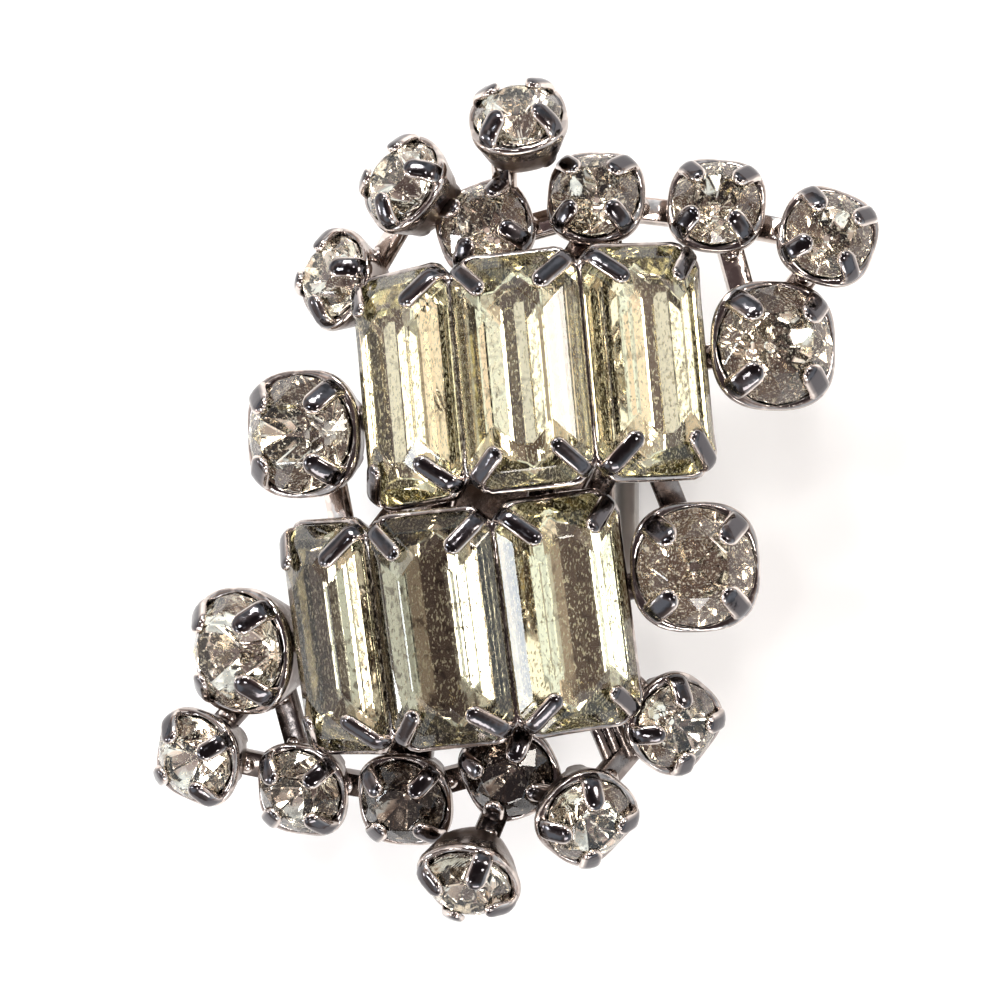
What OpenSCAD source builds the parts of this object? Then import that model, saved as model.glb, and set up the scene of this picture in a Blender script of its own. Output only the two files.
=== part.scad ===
// Clip on earring: two rows of three baguette stones and eighteen round ones, in a domed prong setting.
// The lower half of the cluster is the upper half turned half way round the middle.
// X is across the ear, Y up the ear and Z out of it. The origin is the middle of the clip's flat back.

/* [Baguette stones] */
// Width of a baguette stone over its girdle
baguette_w = 5.8; // [5.2:0.1:6.4]
// Length of a baguette stone over its girdle
baguette_l = 10.4; // [9.4:0.1:11.4]
// How far each corner is cut back along both edges
corner_cut = 1; // [0.9:0.05:1.2]
// Height of the stepped crown above the girdle
baguette_crown = 1.25; // [1:0.05:1.5]
// Depth of the stepped back below the girdle
baguette_depth = 1.8; // [1.5:0.05:2]

/* [Round stones] */
// Diameter of a small round stone
small_d = 4; // [3.7:0.05:4.2]
// Diameter of a large round stone
large_d = 5.4; // [5:0.05:5.6]
// Crown height of a round stone as a share of its diameter
crown_share = 0.24; // [0.2:0.01:0.28]
// Back depth of a round stone as a share of its diameter
back_share = 0.42; // [0.36:0.01:0.46]
// Width of a round stone's table as a share of its diameter
table_share = 0.54; // [0.45:0.01:0.6]

/* [All stones] */
// Thickness of the girdle
girdle_t = 0.25; // [0.15:0.05:0.4]
// Clearance between a stone and the metal round it
stone_gap = 0.06; // [0.04:0.01:0.1]

/* [Cups and prongs] */
// Thickness of a cup's wall at its rim
cup_wall = 0.3; // [0.2:0.05:0.45]
// Thickness of metal under a stone's point
cup_floor = 0.5; // [0.3:0.05:0.8]
// Width of a cup's foot as a share of its rim
foot_share = 0.6; // [0.5:0.02:0.75]
// Width of a prong
prong_w = 0.85; // [0.65:0.05:1]
// Thickness of a prong
prong_t = 0.34; // [0.25:0.02:0.45]
// How far a round stone's prong lies over its crown
prong_over = 0.9; // [0.6:0.05:1.1]
// How far a baguette's prong lies over its crown
baguette_over = 1.5; // [1:0.05:1.8]

/* [Cluster] */
// Space between neighbouring baguettes at the girdle
row_gap = 0.16; // [0.12:0.02:0.4]
// Turn of each row of baguettes in plan
row_turn = 6.5; // [0:0.5:12]
// Lean of a whole row to its own side
row_roll = 4; // [0:0.5:8]
// Lean of a row's outer baguettes against its middle one
side_roll = 34; // [26:1:38]
// Lean of a row away from the other row
row_pitch = 5; // [0:1:9]
// Clear space round a round stone, to its neighbour's
round_space = 1; // [0.8:0.05:1.4]
// How far the lowest round stones lie below the middle baguettes
dome_drop = 5.2; // [4.4:0.1:6]

/* [Frame] */
// Width of the flat bars that join the cups
bar_w = 1.2; // [0.8:0.05:1.6]
// Thickness of the flat bars
bar_t = 0.6; // [0.4:0.05:0.9]
// Diameter of the posts under the baguette cups
post_d = 1.6; // [1.2:0.05:2]
// Height of the middle baguettes' girdles above the back plate
dome_h = 6.2; // [5.6:0.1:7.4]
// Width of the back plate
plate_w = 9.4; // [8:0.1:11]
// Length of the back plate
plate_l = 14; // [12:0.1:16]
// Thickness of the back plate
plate_t = 0.8; // [0.6:0.05:1.2]

/* [Ear clip] */
// Width of the clip's base plate
base_w = 7; // [6:0.1:8]
// Length of the clip's base plate
base_l = 13; // [11:0.1:14]
// Thickness of the clip's base plate
base_t = 0.7; // [0.5:0.05:1]
// Width of the paddle that lies behind the lobe
paddle_w = 9; // [8:0.1:10]
// Length of the paddle
paddle_l = 14; // [12:0.1:16]
// Thickness of the paddle
paddle_t = 0.9; // [0.7:0.05:1.3]
// Open space for the ear lobe, between the base plate and the paddle
lobe_gap = 4.6; // [4.3:0.1:6]
// Width of the bracket that joins the base plate and the paddle
bracket_w = 5; // [4:0.1:6]
// Thickness of the bracket
bracket_t = 1.2; // [0.9:0.05:1.6]
// Clearance between the clip's base plate and the setting
seat_gap = 0.12; // [0.08:0.02:0.2]

/* [Hidden] */
// Sides of a round stone's girdle, and half as many round its table
GIRDLE_SIDES = 16;
// Sides of a round stone's cup, with a prong on every other one
CUP_SIDES = 8;
// A thickness that a hull's thin ends can have
SLIVER = 0.05;
// Width of a round stone's point as a share of its diameter
CULET = 0.12;
// Steps of a baguette's crown and back: [share of the height or depth, inset as a share of the width]
CROWN_STEPS = [[0.62, 0.1], [1, 0.27]];
BACK_STEPS = [[0.6, 0.14], [1, 0.36]];
// Width of a prong's tip as a share of its foot
PRONG_TIP = 0.6;
// A half turn, from the upper half of the cluster to the lower one, in degrees
HALF_TURN = 180;
// Feet of the posts, as shares of the back plate's width and length
POST_FOOT = [0.3, 0.24];

clip_h = paddle_t + lobe_gap + base_t;
plate_z = clip_h + seat_gap;
crest_z = plate_z + plate_t + dome_h;

// Round stones of the upper half. wide and long place each in baguette widths and lengths from the middle,
// out_x and out_y go on from there in spacings of the stone's own kind. drop is its share of dome_drop.
// lean_x and lean_y are its lean in degrees towards +X and +Y, and turn is about its own axis.
// [name, partner in the lower half, kind, wide, long, out_x, out_y, drop, lean_x, lean_y, turn]
ROUNDS = [
    ["chaton_upper_tip", "chaton_lower_tip", "small", 1.2, 1, 1.58, 0.31, 1, 20, 12, -18],
    ["chaton_upper_wing", "chaton_lower_wing", "small", 1, 1.06, 0.79, 0.48, 0.95, 10, 18, -4],
    ["chaton_upper_bridge", "chaton_lower_bridge", "small", 0.77, 1.06, 0, 0.55, 0.66, 4, 20, 0],
    ["chaton_upper_crest", "chaton_lower_crest", "small", -0.1, 1.06, 0, 0.28, 0.56, -2, 18, 25],
    ["chaton_upper_peak", "chaton_lower_peak", "small", 0.2, 1.06, 0, 1.26, 0.42, 2, 46, 15],
    ["chaton_upper_fan", "chaton_lower_fan", "small", -0.45, 1.06, -0.34, 0.68, 0.5, -30, 26, 45],
    ["chaton_upper_shoulder", "chaton_lower_shoulder", "small", -1.08, 0.92, -0.35, 0.12, 0.85, -38, 14, 50],
    ["chaton_upper_flank", "chaton_lower_flank", "large", -1.08, 0.29, -0.46, 0, 0.55, -16, 0, 2],
    ["chaton_upper_end", "chaton_lower_end", "large", 1.68, 0.61, 0.44, 0.1, 0.85, 28, 4, 0]
];
// The two rows' middle baguettes, in baguette widths and lengths from the middle of the cluster
MIDDLE = [0.32, 0.56];
BAGUETTES = [
    ["baguette_upper_left", "baguette_lower_right", -1],
    ["baguette_upper_middle", "baguette_lower_middle", 0],
    ["baguette_upper_right", "baguette_lower_left", 1]
];
// Bars within a half, and bars from one half to the other, by places in SEATS
LINKS = [[3, 4], [4, 5], [5, 6], [6, 7], [6, 8], [8, 9], [3, 11], [4, 11], [2, 11], [0, 10], [9, 0],
    [1, 5], [1, 6], [0, 6], [2, 5], [0, 1], [1, 2]];
CROSS_LINKS = [[0, 1], [0, 2], [10, 2]];

// Moves and turns as matrices, so that the bars can find the cups' feet
function shift(v) = [[1, 0, 0, v.x], [0, 1, 0, v.y], [0, 0, 1, v.z], [0, 0, 0, 1]];
function about_x(a) = [[1, 0, 0, 0], [0, cos(a), -sin(a), 0], [0, sin(a), cos(a), 0], [0, 0, 0, 1]];
function about_y(a) = [[cos(a), 0, sin(a), 0], [0, 1, 0, 0], [-sin(a), 0, cos(a), 0], [0, 0, 0, 1]];
function about_z(a) = [[cos(a), -sin(a), 0, 0], [sin(a), cos(a), 0, 0], [0, 0, 1, 0], [0, 0, 0, 1]];
function lean(x, y) = about_z(atan2(y, x)) * about_y(norm([x, y])) * about_z(-atan2(y, x));

function width_of(kind) = kind == "baguette" ? baguette_w : kind == "large" ? large_d : small_d;
function length_of(kind) = kind == "baguette" ? baguette_l : width_of(kind);
function crown_of(kind) = kind == "baguette" ? baguette_crown : width_of(kind) * crown_share;
function back_of(kind) = kind == "baguette" ? baguette_depth : width_of(kind) * back_share;
function cup_depth(kind) = back_of(kind) + cup_floor;

// Place of a round stone's girdle
function round_place(row) =
    let (own = width_of(row[2]) + round_space)
    [row[3] * baguette_w + row[5] * own, row[4] * baguette_l + row[6] * own, crest_z - row[7] * dome_drop];

// Baguettes of a row touch along their girdles, so each outer one is chained to the middle one
function chain_place(side) =
    let (half = (baguette_w + row_gap) / 2)
    half * [side * (1 + cos(side_roll)), 0, -abs(side) * sin(side_roll)];

function baguette_seat(row) =
    shift([MIDDLE.x * baguette_w, MIDDLE.y * baguette_l, crest_z])
    * about_z(row_turn) * about_x(-row_pitch) * about_y(row_roll)
    * shift(chain_place(row[2])) * about_y(row[2] * side_roll);
function round_seat(row) = shift(round_place(row)) * lean(row[8], row[9]) * about_z(row[10]);

// Every seat of the upper half, as its kind and its frame
SEATS = concat(
    [for (row = BAGUETTES) ["baguette", baguette_seat(row)]],
    [for (row = ROUNDS) [row[2], round_seat(row)]]
);
UPPER_NAMES = [for (row = concat(BAGUETTES, ROUNDS)) row[0]];
LOWER_NAMES = [for (row = concat(BAGUETTES, ROUNDS)) row[1]];

// Outline of a cut stone in plan: a rectangle with cut corners, or a round one with flat sides
module outline(kind, grow, sides = GIRDLE_SIDES) {
    w = width_of(kind) / 2 + grow;
    l = length_of(kind) / 2 + grow;
    cut = corner_cut;
    if (kind == "baguette")
        polygon([[w, l - cut], [w - cut, l], [cut - w, l], [-w, l - cut],
            [-w, cut - l], [cut - w, -l], [w - cut, -l], [w, cut - l]]);
    else
        rotate(HALF_TURN / sides) circle(w, $fn = sides);
}

module slab(kind, z, grow, sides = GIRDLE_SIDES) {
    translate([0, 0, z]) linear_extrude(SLIVER) outline(kind, grow, sides);
}

// How far in from the girdle a stone's table lies
function table_inset(kind) =
    width_of(kind) * (kind == "baguette" ? CROWN_STEPS[1][1] : (1 - table_share) / 2);

// A cut stone, with its girdle's middle at the origin. grow makes the space that the metal leaves for it.
module stone(kind, grow = 0) {
    w = width_of(kind);
    crown = crown_of(kind) + grow;
    back = back_of(kind) + grow;
    hull() {
        translate([0, 0, -girdle_t / 2 - grow]) linear_extrude(girdle_t + 2 * grow) outline(kind, grow);
        slab(kind, crown - SLIVER, grow - table_inset(kind), GIRDLE_SIDES / 2);
        if (kind == "baguette") {
            slab(kind, crown * CROWN_STEPS[0][0], grow - w * CROWN_STEPS[0][1]);
            for (step = BACK_STEPS)
                slab(kind, -back * step[0], grow - w * step[1]);
        } else
            translate([0, 0, -back]) cylinder(h = SLIVER, d = w * CULET, $fn = GIRDLE_SIDES / 2);
    }
}

// A cup under a stone, solid: the stones' spaces are cut out of all the metal together
module cup(kind) {
    rim = cup_wall + stone_gap;
    inset = width_of(kind) * (1 - foot_share) / 2;
    hull() {
        slab(kind, -girdle_t / 2 - SLIVER, rim, CUP_SIDES);
        slab(kind, -cup_depth(kind), rim - inset, CUP_SIDES);
    }
}

// One prong, with the stone's girdle edge at the origin and the stone towards -X: a bent, narrowing strip
module prong(kind) {
    over = kind == "baguette" ? baguette_over : prong_over;
    rise = crown_of(kind) * min(1, over / table_inset(kind));
    top = girdle_t / 2 + 2 * stone_gap;
    foot = width_of(kind) * (1 - foot_share) / 2;
    clear = 1.5 * stone_gap;
    // [distance out, height, half width] of the strip's inner side and its outer side, from foot to tip
    inner = [[clear - foot, -cup_depth(kind), 1], [clear, top, 1], [-over, rise + clear, PRONG_TIP]];
    outer = [[clear - foot + prong_t, -cup_depth(kind), 1], [clear + prong_t, top, 1],
        [-over + prong_t / 3, rise + clear + prong_t, PRONG_TIP]];
    strip([for (i = [0:2]) [inner[i], outer[i]]], prong_w / 2);
}

// A strip of four-cornered rings, each given by its inner and outer side
module strip(rings, half) {
    points = [for (r = rings) each [[r[0].x, -r[0].z * half, r[0].y], [r[1].x, -r[1].z * half, r[1].y],
        [r[1].x, r[1].z * half, r[1].y], [r[0].x, r[0].z * half, r[0].y]]];
    last = 4 * (len(rings) - 1);
    sides = [for (i = [0:len(rings) - 2], j = [0:3])
        let (k = (j + 1) % 4) [4 * i + j, 4 * i + 4 + j, 4 * i + 4 + k, 4 * i + k]];
    polyhedron(points, concat([[0, 1, 2, 3]], sides, [[last + 3, last + 2, last + 1, last]]));
}

module prongs(kind) {
    w = width_of(kind) / 2;
    l = length_of(kind) / 2;
    for (x = [-1, 1], y = [-1, 1]) {
        if (kind == "baguette")
            translate([x * (w - corner_cut / 2), y * (l - corner_cut / 2), 0])
                rotate(atan2(y, x)) prong(kind);
        else
            rotate(atan2(y, x)) translate([w, 0, 0]) prong(kind);
    }
}

// A flat bar between the feet of two cups, each given by its kind and its frame
module foot_end(seat, lift) {
    multmatrix(seat[1]) translate([0, 0, lift - cup_depth(seat[0])])
        translate([-bar_w / 2, -bar_w / 2, 0]) cube([bar_w, bar_w, bar_t]);
}
module bar(a, b) {
    hull() {
        foot_end(a, cup_floor / 2);
        foot_end(b, cup_floor / 2);
    }
}
function turned(seat) = [seat[0], about_z(HALF_TURN) * seat[1]];

// A post from a baguette cup's foot to the back plate
module post(side) {
    foot = [side * plate_w * POST_FOOT.x, plate_l * POST_FOOT.y];
    hull() {
        multmatrix(SEATS[side + 1][1]) translate([0, 0, -cup_depth("baguette")])
            cylinder(h = cup_floor, d = post_d, $fn = 10);
        translate([foot.x, foot.y, plate_z]) cylinder(h = plate_t, d = post_d, $fn = 10);
    }
}

module half_frame() {
    for (seat = SEATS)
        multmatrix(seat[1]) {
            cup(seat[0]);
            prongs(seat[0]);
        }
    for (pair = LINKS)
        bar(SEATS[pair[0]], SEATS[pair[1]]);
    for (pair = CROSS_LINKS)
        bar(SEATS[pair[0]], turned(SEATS[pair[1]]));
    for (side = [-1:1])
        post(side);
}

// A flat plate with round ends, along Y
module long_plate(w, l, t) {
    linear_extrude(t) {
        square([w, l - w], center = true);
        for (end = [-1, 1])
            translate([0, end * (l - w) / 2]) circle(d = w, $fn = 48);
    }
}

// All of the soldered metal: cups, prongs, bars, posts and back plate
module setting() {
    color("dimgray") difference() {
        union() {
            for (half = [0, HALF_TURN])
                rotate(half) half_frame();
            translate([0, 0, plate_z]) long_plate(plate_w, plate_l, plate_t);
        }
        for (half = [0, HALF_TURN], seat = SEATS)
            rotate(half) multmatrix(seat[1]) stone(seat[0], stone_gap);
    }
}

// The clip as one piece: base plate, bracket and paddle, open upwards for the lobe
module ear_clip() {
    color("silver") {
        translate([0, 0, paddle_t + lobe_gap]) long_plate(base_w, base_l, base_t);
        long_plate(paddle_w, paddle_l, paddle_t);
        translate([-bracket_w / 2, -base_l / 2, 0]) cube([bracket_w, bracket_t, clip_h]);
    }
}

setting();
ear_clip();
for (i = [0:len(SEATS) - 1]) {
    upper_stone(i);
    rotate(HALF_TURN) upper_stone(i);
}

module upper_stone(i) {
    tint = SEATS[i][0] == "baguette" ? "lightgoldenrodyellow" : "gainsboro";
    color(tint) multmatrix(SEATS[i][1]) stone(SEATS[i][0]);
}
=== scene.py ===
"""Clip on earring: cut stones in a domed prong setting, with a plain ear clip behind.

Lengths are in millimetres while a piece is being made, and in metres once it is in the scene.
X is across the ear, Y up the ear and Z out of it. The floor is at Z = 0.
"""

import math
import random
from functools import cache

import bmesh
import bpy
from mathutils import Matrix, Vector


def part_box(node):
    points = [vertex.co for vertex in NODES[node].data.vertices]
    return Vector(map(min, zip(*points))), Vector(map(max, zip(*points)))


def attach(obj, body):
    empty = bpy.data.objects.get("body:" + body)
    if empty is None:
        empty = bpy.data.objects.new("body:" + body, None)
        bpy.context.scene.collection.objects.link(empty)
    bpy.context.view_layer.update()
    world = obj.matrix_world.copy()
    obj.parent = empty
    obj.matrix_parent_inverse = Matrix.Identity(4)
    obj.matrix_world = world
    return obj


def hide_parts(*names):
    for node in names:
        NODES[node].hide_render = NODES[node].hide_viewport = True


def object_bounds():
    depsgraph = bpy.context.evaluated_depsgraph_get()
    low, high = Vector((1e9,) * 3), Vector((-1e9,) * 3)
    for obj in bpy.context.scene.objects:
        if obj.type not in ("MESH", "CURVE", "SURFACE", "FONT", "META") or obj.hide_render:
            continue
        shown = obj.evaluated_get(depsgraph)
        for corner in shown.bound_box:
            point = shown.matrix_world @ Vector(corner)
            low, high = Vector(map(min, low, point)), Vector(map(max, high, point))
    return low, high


bl_info = {
    "name": "Clip on earring",
    "version": (1, 0, 0),
    "blender": (4, 5, 0),
    "location": "3D View > Sidebar > Earring",
    "description": "Builds a rhinestone clip on earring over its packed frame",
    "category": "Mesh",
}

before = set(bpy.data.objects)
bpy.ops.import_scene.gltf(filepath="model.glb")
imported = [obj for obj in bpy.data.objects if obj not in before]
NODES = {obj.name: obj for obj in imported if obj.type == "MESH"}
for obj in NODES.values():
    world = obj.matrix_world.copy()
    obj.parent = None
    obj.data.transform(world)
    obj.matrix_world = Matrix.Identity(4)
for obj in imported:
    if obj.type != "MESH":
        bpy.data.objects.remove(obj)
CAD_BOX = [list(corner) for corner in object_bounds()]

MM = 0.001
BODY = "root"

# Stones of each half by kind, and by the last word of their nodes' names
SEAT_NAMES = {
    "baguette": ("left", "middle", "right"),
    "small": ("tip", "wing", "bridge", "crest", "peak", "fan", "shoulder"),
    "large": ("flank", "end"),
}
OTHER_HALF = {"upper": "lower", "lower": "upper"}
# The lower half is the upper one turned half way round, so its left baguette faces the upper right one
TURNED_SEAT = {"left": "right", "middle": "middle", "right": "left"}
# Flat bars between the cups of a half, and from each half to the other one
BARS = (
    ("tip", "wing"), ("wing", "bridge"), ("bridge", "crest"), ("crest", "peak"), ("crest", "fan"),
    ("fan", "shoulder"), ("tip", "end"), ("wing", "end"), ("right", "end"), ("left", "flank"),
    ("shoulder", "left"), ("middle", "bridge"), ("middle", "crest"), ("left", "crest"),
    ("right", "bridge"), ("left", "middle"), ("middle", "right"),
)
CROSS_BARS = (("left", "middle"), ("left", "right"), ("flank", "right"))


def node_of(half, seat):
    """The CAD node of a seat, counted as in the upper half"""
    if seat not in TURNED_SEAT:
        return f"chaton_{half}_{seat}"
    return f"baguette_{half}_{seat if half == 'upper' else TURNED_SEAT[seat]}"


# Sizes and colours

def mm_size(name, description, default, low, high):
    """A length"""
    return bpy.props.FloatProperty(
        name=name, description=f"{description}, in millimetres", default=default, min=low, max=high)


def share_size(name, description, default, low, high):
    """A share of another size"""
    return bpy.props.FloatProperty(
        name=name, description=description, default=default, min=low, max=high, subtype="FACTOR")


def tint(name, description, default):
    """A colour"""
    return bpy.props.FloatVectorProperty(
        name=name, description=description, default=default, size=3, min=0, max=1, subtype="COLOR")


class StoneSizes(bpy.types.PropertyGroup):
    """Sizes and colours of the cut stones"""

    baguette_w: mm_size("Baguette width", "Width over the girdle", 5.8, 5, 7)
    baguette_l: mm_size("Baguette length", "Length over the girdle", 10.4, 9, 12)
    corner_cut: mm_size("Corner cut", "How far a baguette's corners are cut back", 1.0, 0.5, 1.5)
    baguette_crown: mm_size("Baguette crown", "Height of the stepped crown", 1.25, 1, 1.5)
    baguette_back: mm_size("Baguette back", "Depth of the stepped back", 1.8, 1.5, 2)
    small_d: mm_size("Small round", "Diameter of a small round stone", 4.0, 3.5, 4.5)
    large_d: mm_size("Large round", "Diameter of a large round stone", 5.4, 5, 6)
    crown_share: share_size("Crown", "Height of a round stone's crown in diameters", 0.24, 0.1, 0.3)
    back_share: share_size("Back", "Room for a round stone's back in diameters", 0.42, 0.3, 0.5)
    point_share: share_size("Point", "Depth of a round stone's point in diameters", 0.385, 0.3, 0.42)
    table_share: share_size("Table", "Width of a round stone's table in diameters", 0.54, 0.4, 0.7)
    girdle: mm_size("Girdle", "Thickness of a stone's edge", 0.25, 0.1, 0.4)
    edge: mm_size("Facet edge", "Rounding of the moulded facet edges", 0.045, 0.01, 0.1)
    baguette_glass: tint("Baguette glass", "Tint of the baguettes' glass", (0.93, 0.88, 0.55))
    baguette_foil: tint("Baguette foil", "Colour of the foil behind the baguettes", (0.94, 0.91, 0.80))
    round_glass: tint("Round glass", "Tint of the round stones' glass", (0.985, 0.97, 0.93))
    round_foil: tint("Round foil", "Colour of the foil behind the round stones", (0.985, 0.93, 0.82))


class MetalSizes(bpy.types.PropertyGroup):
    """Sizes and colours of the setting and the clip"""

    cup_wall: mm_size("Cup wall", "Thickness of a cup's wall", 0.18, 0.15, 0.5)
    cup_floor: mm_size("Cup floor", "Metal under a stone's point", 0.5, 0.3, 0.8)
    foot_share: share_size("Cup foot", "Width of a cup's foot as a share of its stone", 0.6, 0.5, 0.8)
    stone_gap: mm_size("Stone gap", "Clearance round a stone", 0.06, 0.02, 0.1)
    rim_dip: mm_size("Rim dip", "How far a cup's rim dips between its prongs", 0.16, 0, 0.3)
    prong_w: mm_size("Prong width", "Width of a small round stone's prong", 0.96, 0.6, 1.2)
    prong_over: mm_size("Prong reach", "How far that prong lies over its stone", 1.0, 0.6, 1.2)
    large_prongs: share_size("Large prongs", "Size of a large round stone's prongs against it", 1.2, 1, 1.4)
    long_prong_w: mm_size("Long prong width", "Width of a baguette's prong", 0.88, 0.6, 1.2)
    baguette_over: mm_size("Long prong reach", "How far that prong lies over its baguette", 1.75, 1, 2)
    prong_t: mm_size("Prong thickness", "Thickness of every prong", 0.35, 0.2, 0.5)
    bar_w: mm_size("Bar width", "Width of the bars between the cups", 1.2, 0.8, 1.6)
    bar_t: mm_size("Bar thickness", "Thickness of those bars", 0.6, 0.4, 0.9)
    post_d: mm_size("Post", "Diameter of the posts under the baguettes", 1.6, 1.2, 2)
    plate_w: mm_size("Back plate width", "Width of the back plate", 9.4, 8, 11)
    plate_l: mm_size("Back plate length", "Length of the back plate", 14, 12, 16)
    plate_t: mm_size("Back plate thickness", "Thickness of the back plate", 0.8, 0.6, 1.2)
    seat_gap: mm_size("Seat gap", "Room between the back plate and the clip", 0.12, 0.05, 0.3)
    base_w: mm_size("Clip base width", "Width of the clip's base plate", 7, 6, 9)
    base_l: mm_size("Clip base length", "Length of the clip's base plate", 13, 12, 15)
    base_t: mm_size("Clip base thickness", "Thickness of the clip's base plate", 0.7, 0.5, 1)
    paddle_w: mm_size("Paddle width", "Width of the clip's paddle", 9, 8, 11)
    paddle_l: mm_size("Paddle length", "Length of the clip's paddle", 14, 12, 16)
    paddle_t: mm_size("Paddle thickness", "Thickness of the clip's paddle", 0.9, 0.7, 1.2)
    paddle_dish: mm_size("Paddle dish", "Depth of the dish in the paddle's inner face", 0.18, 0.05, 0.4)
    bracket_w: mm_size("Bracket width", "Width of the clip's bracket", 5, 4, 6)
    bracket_t: mm_size("Bracket thickness", "Thickness of the clip's bracket", 1.2, 1, 1.5)
    bracket_drop: mm_size("Bracket place", "How far below the clip's middle the bracket stands", 5.9, 5.5, 6)
    # The bright plating colour shows where a highlight is painted, and the near-black colour after it is a
    # painted dark reflection
    plating: tint("Plating", "Colour of the plating where it is worn bright", (0.70, 0.62, 0.57))
    painted_dark: tint("Dull plating", "Colour of the dark plating", (0.085, 0.08, 0.085))
    # The tarnish colour also paints shade on the lower half's bars
    tarnish: tint("Tarnish", "Colour of the tarnish in the recesses", (0.12, 0.075, 0.05))
    steel: tint("Clip steel", "Colour of the ear clip", (0.50, 0.485, 0.47))


class StageSizes(bpy.types.PropertyGroup):
    """The camera, the floor and the strength of the lights"""

    lean: bpy.props.FloatProperty(
        name="Camera lean", description="Lean of the camera from straight above, to the viewer's right",
        default=math.radians(13), min=0, max=math.radians(60), subtype="ANGLE")
    distance: bpy.props.FloatProperty(
        name="Camera distance", description="From the camera to the earring", default=0.26, min=0.1, max=1,
        subtype="DISTANCE", unit="LENGTH")
    lens: mm_size("Lens", "Focal length", 206, 50, 300)
    light: share_size("Light", "Strength of all the lights together", 1.0, 0, 5)
    paper: tint("Floor", "Colour of the floor", (0.88, 0.875, 0.865))


# Seats, found from the CAD nodes

# How level the table is, in millimetres, and the share of the widest reach that only the girdle has
TABLE_LEVEL = 0.02
GIRDLE_SHARE = 0.99
# Where a round stone's prongs are looked for: from this height over its girdle to this one over its table, in
# millimetres, and between these shares of its radius
PRONG_HEIGHTS = (0.1, 0.8)
PRONG_REACHES = (0.3, 0.9)


def corners_of(node):
    """Every corner of a CAD node once, in millimetres"""
    return [Vector(key) for key in {tuple(round(c / MM, 4) for c in v.co) for v in NODES[node].data.vertices}]


def table_of(node):
    """Normal of a stone's table, its largest flat face"""
    areas = {}
    for face in NODES[node].data.polygons:
        key = tuple(round(c, 2) for c in face.normal)
        total = areas.setdefault(key, [0.0, Vector()])
        total[0] += face.area
        total[1] += face.normal * face.area
    return max((t for t in areas.values() if t[1].z > 0), key=lambda t: t[0])[1].normalized()


def seat_frame(origin, across, normal):
    """A frame with its X axis as near to across as its Z axis along normal allows"""
    along = normal.cross(across).normalized()
    across = along.cross(normal)
    place = Matrix((across, along, normal)).transposed().to_4x4()
    place.translation = origin
    return place


def end_edge(spread, normal):
    """The edge at a baguette's upper end, from left to right. spread holds its corners from its middle."""
    sizes = bpy.context.scene.earring_stones
    end = Vector((0, 1, 0)) - normal * normal.y
    first = max(spread, key=lambda s: s.dot(end))
    near = [s for s in spread if s.dot(end) > first.dot(end) - sizes.corner_cut]
    edge = sizes.baguette_w - 2 * sizes.corner_cut
    second = min(near, key=lambda s: abs(s.length - first.length) + abs((s - first).length - edge))
    return second - first if second.x > first.x else first - second


def prong_turn(place, metal, crown, reach):
    """Turn that brings a round stone's prongs half way between X and Y"""
    inward = place.inverted()
    total = Vector((0, 0))
    for point in metal:
        local = inward @ point
        high = PRONG_HEIGHTS[0] < local.z < crown + PRONG_HEIGHTS[1]
        if high and PRONG_REACHES[0] * reach < local.xy.length < PRONG_REACHES[1] * reach:
            angle = 4 * math.atan2(local.y, local.x)
            total += Vector((math.cos(angle), math.sin(angle)))
    return math.atan2(total.y, total.x) / 4 - math.pi / 4


def find_seat(node, metal):
    """Frame of a stone's girdle, with Z out of its table. metal holds the corners of the setting."""
    points = corners_of(node)
    normal = table_of(node)
    heights = [p.dot(normal) for p in points]
    top = max(heights)
    table = [p for p, h in zip(points, heights) if top - h < TABLE_LEVEL]
    middle = sum(table, Vector()) / len(table)
    spread = [(p - middle) - normal * (p - middle).dot(normal) for p in points]
    reach = max(s.length for s in spread)
    girdle = [h for h, s in zip(heights, spread) if s.length > reach * GIRDLE_SHARE]
    origin = middle + normal * ((min(girdle) + max(girdle)) / 2 - middle.dot(normal))
    if node.startswith("baguette"):
        return seat_frame(origin, end_edge(spread, normal), normal)
    place = seat_frame(origin, Vector((1, 0, 0)), normal)
    return place @ Matrix.Rotation(prong_turn(place, metal, top - origin.dot(normal), reach), 4, "Z")


@cache
def seats():
    """Kind and frame of every seat, by half and name"""
    metal = corners_of("setting")
    return {(half, name): (kind, find_seat(node_of(half, name), metal))
            for half in OTHER_HALF for kind, names in SEAT_NAMES.items() for name in names}


# Mesh helpers

# Angles, in degrees, from which the edges of cups and of flat parts stay sharp
CUP_SMOOTH, FLAT_SMOOTH = 50, 40


def loft(bm, rings):
    """Skin a list of equal rings of points, with a cap at each end. Returns the rows of new points."""
    rows = [[bm.verts.new(p) for p in ring] for ring in rings]
    count = len(rows[0])
    for low, high in zip(rows, rows[1:]):
        for i in range(count):
            j = (i + 1) % count
            bm.faces.new((low[i], low[j], high[j], high[i]))
    bm.faces.new(rows[0][::-1])
    bm.faces.new(rows[-1])
    return rows


def loft_with_highlight(bm, rings, highlights):
    """Skin rings of points and give each point its painted highlight: near 1 shows the bright plating, 0 the
    near-black painted dark reflection
    """
    layer = bm.verts.layers.float.new("highlight")
    for row, values in zip(loft(bm, rings), highlights):
        for vert, value in zip(row, values):
            vert[layer] = value


def circle(radius, z, count, first=0.0):
    """Points round a circle, anticlockwise from an angle"""
    angles = (first + i * 2 * math.pi / count for i in range(count))
    return [Vector((radius * math.cos(a), radius * math.sin(a), z)) for a in angles]


def add_copy(bm, source, place):
    """Add a bmesh to another one, moved by a matrix"""
    mesh = bpy.data.meshes.new("copy")
    copy = source.copy()
    copy.transform(place)
    copy.to_mesh(mesh)
    copy.free()
    bm.from_mesh(mesh)
    bpy.data.meshes.remove(mesh)


def set_values(bm, name, value):
    """Give every point of a bmesh a number, either fixed or worked out from the point"""
    layer = bm.verts.layers.float.get(name) or bm.verts.layers.float.new(name)
    for vert in bm.verts:
        vert[layer] = value(vert.co) if callable(value) else value


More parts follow.
